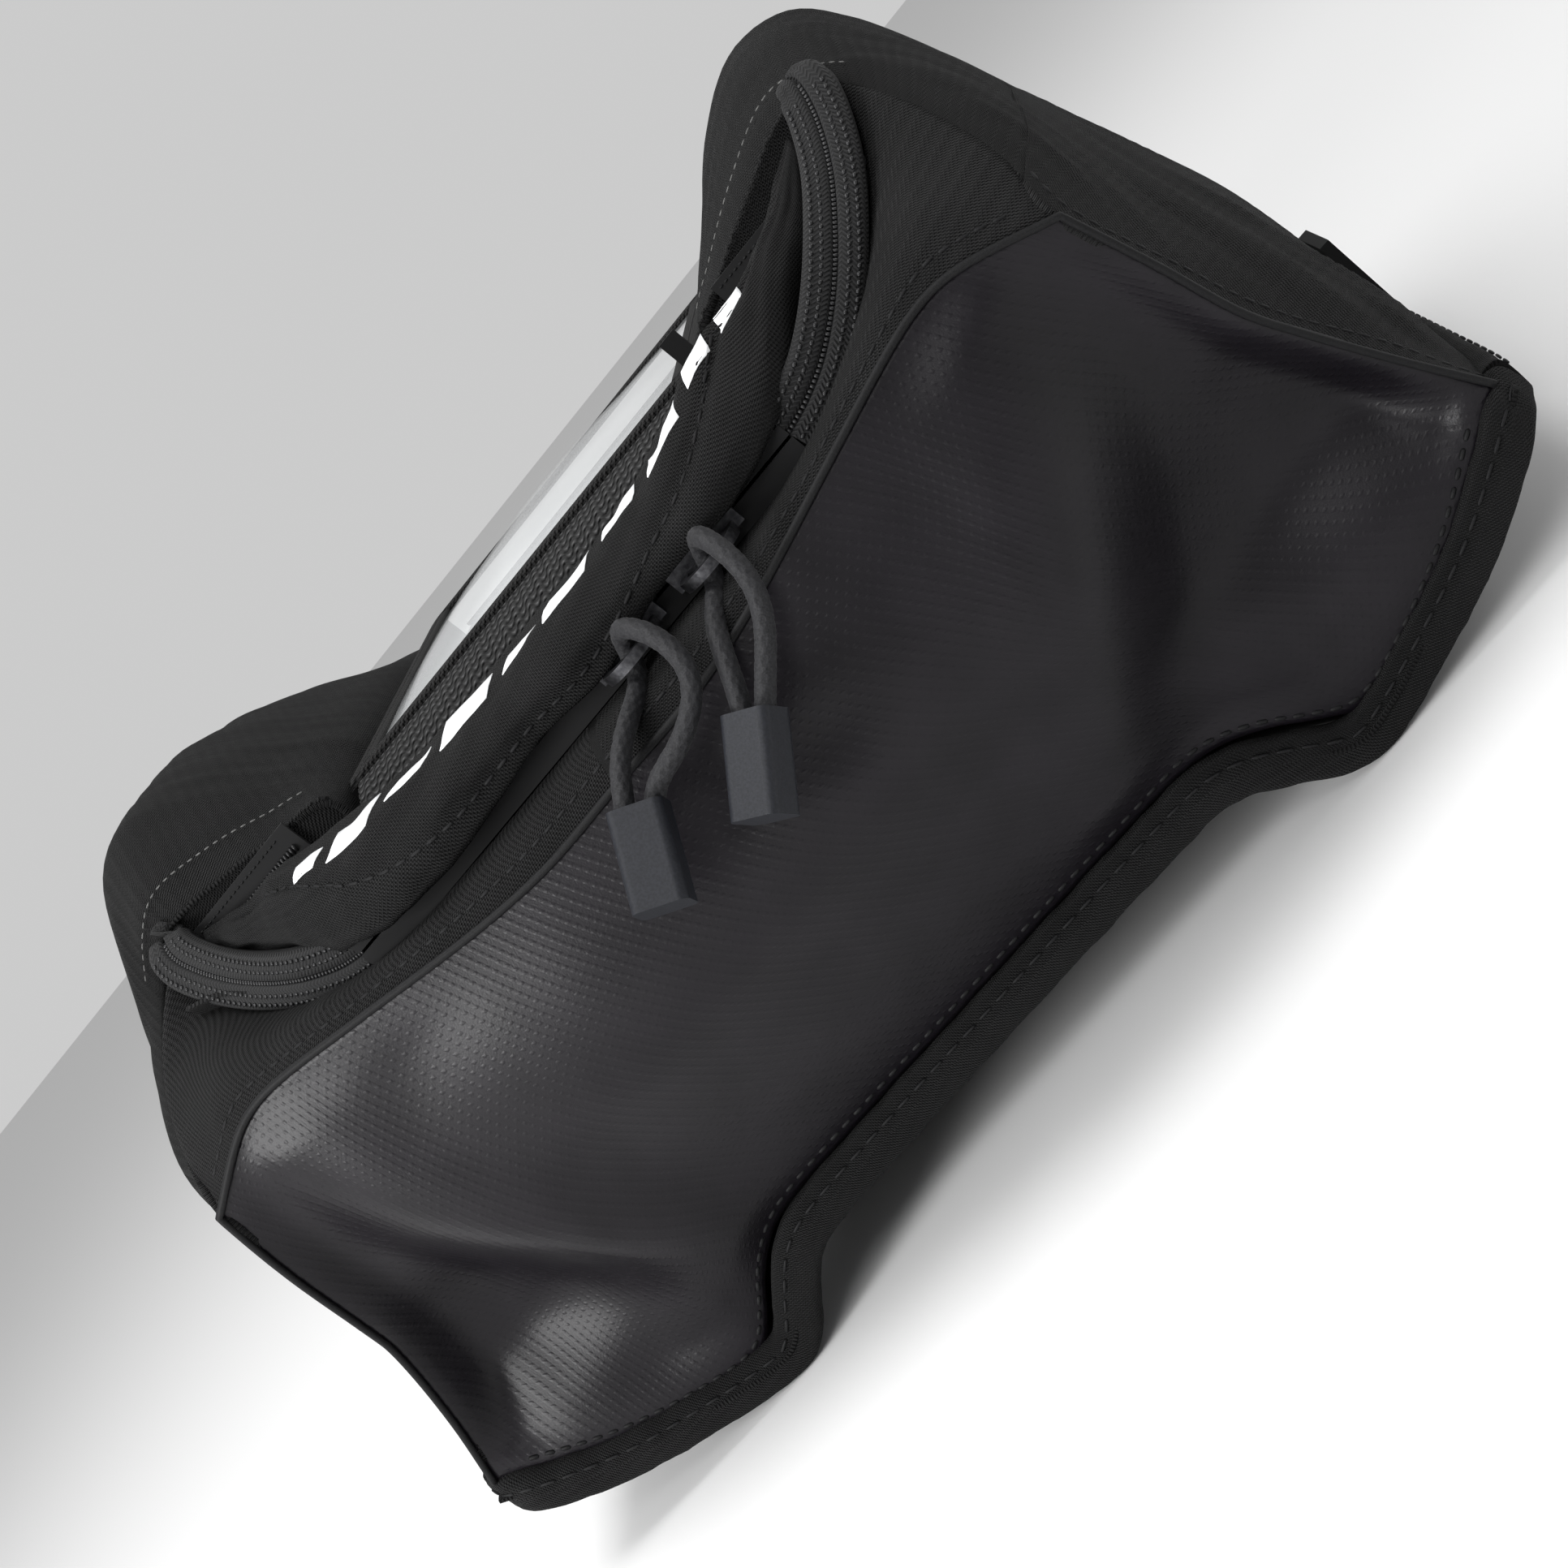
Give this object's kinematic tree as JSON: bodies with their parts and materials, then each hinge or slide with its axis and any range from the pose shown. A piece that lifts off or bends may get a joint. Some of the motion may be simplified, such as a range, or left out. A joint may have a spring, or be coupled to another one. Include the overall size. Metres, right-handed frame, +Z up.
{
  "type": "motorcycle tank bag",
  "caption": "Soft motorcycle tank bag with a saddle-shaped underside, padded front panel, side pods, zipped lid with clear map window and cord zip pulls.",
  "frame": {"origin": "bottom centre of the bag's box, without its pull cords", "axes": "+Z up, +Y away from the rider towards the bag's rear, +X to the right as seen facing the padded front panel"},
  "size_m": [0.351, 0.3092, 0.202],
  "materials": {
    "panel_vinyl": "embossed carbon-look vinyl, satin",
    "bag_fabric": "woven polyester, matt black",
    "hem_fabric": "woven polyester binding, matt black",
    "foam": "closed-cell foam",
    "base_rubber": "non-slip rubberised face",
    "board": "polyethylene board",
    "zip_tape": "polyester zip tape",
    "zip_coil": "nylon coil",
    "slider_metal": "black lacquered die casting",
    "cord": "braided nylon cord",
    "cord_end_plastic": "moulded plastic, satin",
    "window_film": "clear flexible vinyl film",
    "mesh": "open knitted mesh",
    "webbing": "woven webbing"
  },
  "bodies": {
    "bag": {"front_panel": "panel_vinyl", "front_foam": "foam", "front_band": "bag_fabric", "gusset_right": "bag_fabric", "gusset_left": "bag_fabric", "rear_panel": "bag_fabric", "hem_front": "hem_fabric", "hem_rear": "hem_fabric", "hem_right": "hem_fabric", "hem_left": "hem_fabric", "base_sheet": "base_rubber", "base_board": "board", "pod_right": "bag_fabric", "pod_left": "bag_fabric", "pod_zip_right": "zip_tape", "pod_zip_left": "zip_tape", "front_corner_right": "bag_fabric", "front_corner_left": "bag_fabric", "main_zip_end_right": "zip_tape", "main_zip_end_left": "zip_tape", "zip_tape_lower": "zip_tape", "zip_coil_lower": "zip_coil", "strap_tab_right": "webbing", "strap_tab_left": "webbing"},
    "lid": {"lid_board": "bag_fabric", "lid_lip": "bag_fabric", "window_frame": "bag_fabric", "window_film": "window_film", "mesh_strip": "mesh", "gather_right": "bag_fabric", "gather_left": "bag_fabric", "tab_right": "webbing", "tab_left": "webbing", "zip_tape_upper": "zip_tape", "zip_coil_upper": "zip_coil"},
    "left_slider": {"slider_left": "slider_metal", "bail_left": "slider_metal"},
    "right_slider": {"slider_right": "slider_metal", "bail_right": "slider_metal"},
    "left_pull": {"pull_cord_left": "cord", "cord_end_left": "cord_end_plastic", "cord_cap_left": "cord_end_plastic"},
    "right_pull": {"pull_cord_right": "cord", "cord_end_right": "cord_end_plastic", "cord_cap_right": "cord_end_plastic"},
    "left_pod_slider": {"pod_slider_left": "slider_metal"},
    "right_pod_slider": {"pod_slider_right": "slider_metal"}
  },
  "joints": [
    {"name": "lid_hinge", "type": "hinge", "parent": "bag", "child": "lid", "pos_m": [0, 0.1225, 0.15], "axis": [-1, 0, 0], "range_deg": [0, 75]},
    {"name": "left_slider_travel", "type": "slide", "parent": "bag", "child": "left_slider", "axis": [-1, 0, 0], "range_m": [0, 0.08]},
    {"name": "right_slider_travel", "type": "slide", "parent": "bag", "child": "right_slider", "axis": [1, 0, 0], "range_m": [0, 0.018]},
    {"name": "left_pull_swing", "type": "hinge", "parent": "left_slider", "child": "left_pull", "pos_m": [0.0185, -0.1321, 0.1435], "axis": [-1, 0, 0], "range_deg": [0, 65]},
    {"name": "right_pull_swing", "type": "hinge", "parent": "right_slider", "child": "right_pull", "pos_m": [0.0435, -0.1321, 0.1435], "axis": [-1, 0, 0], "range_deg": [0, 65]},
    {"name": "left_pod_slider_travel", "type": "slide", "parent": "bag", "child": "left_pod_slider", "axis": [1, 0, 0], "range_m": [0, 0.032]},
    {"name": "right_pod_slider_travel", "type": "slide", "parent": "bag", "child": "right_pod_slider", "axis": [-1, 0, 0], "range_m": [0, 0.032]}
  ]
}
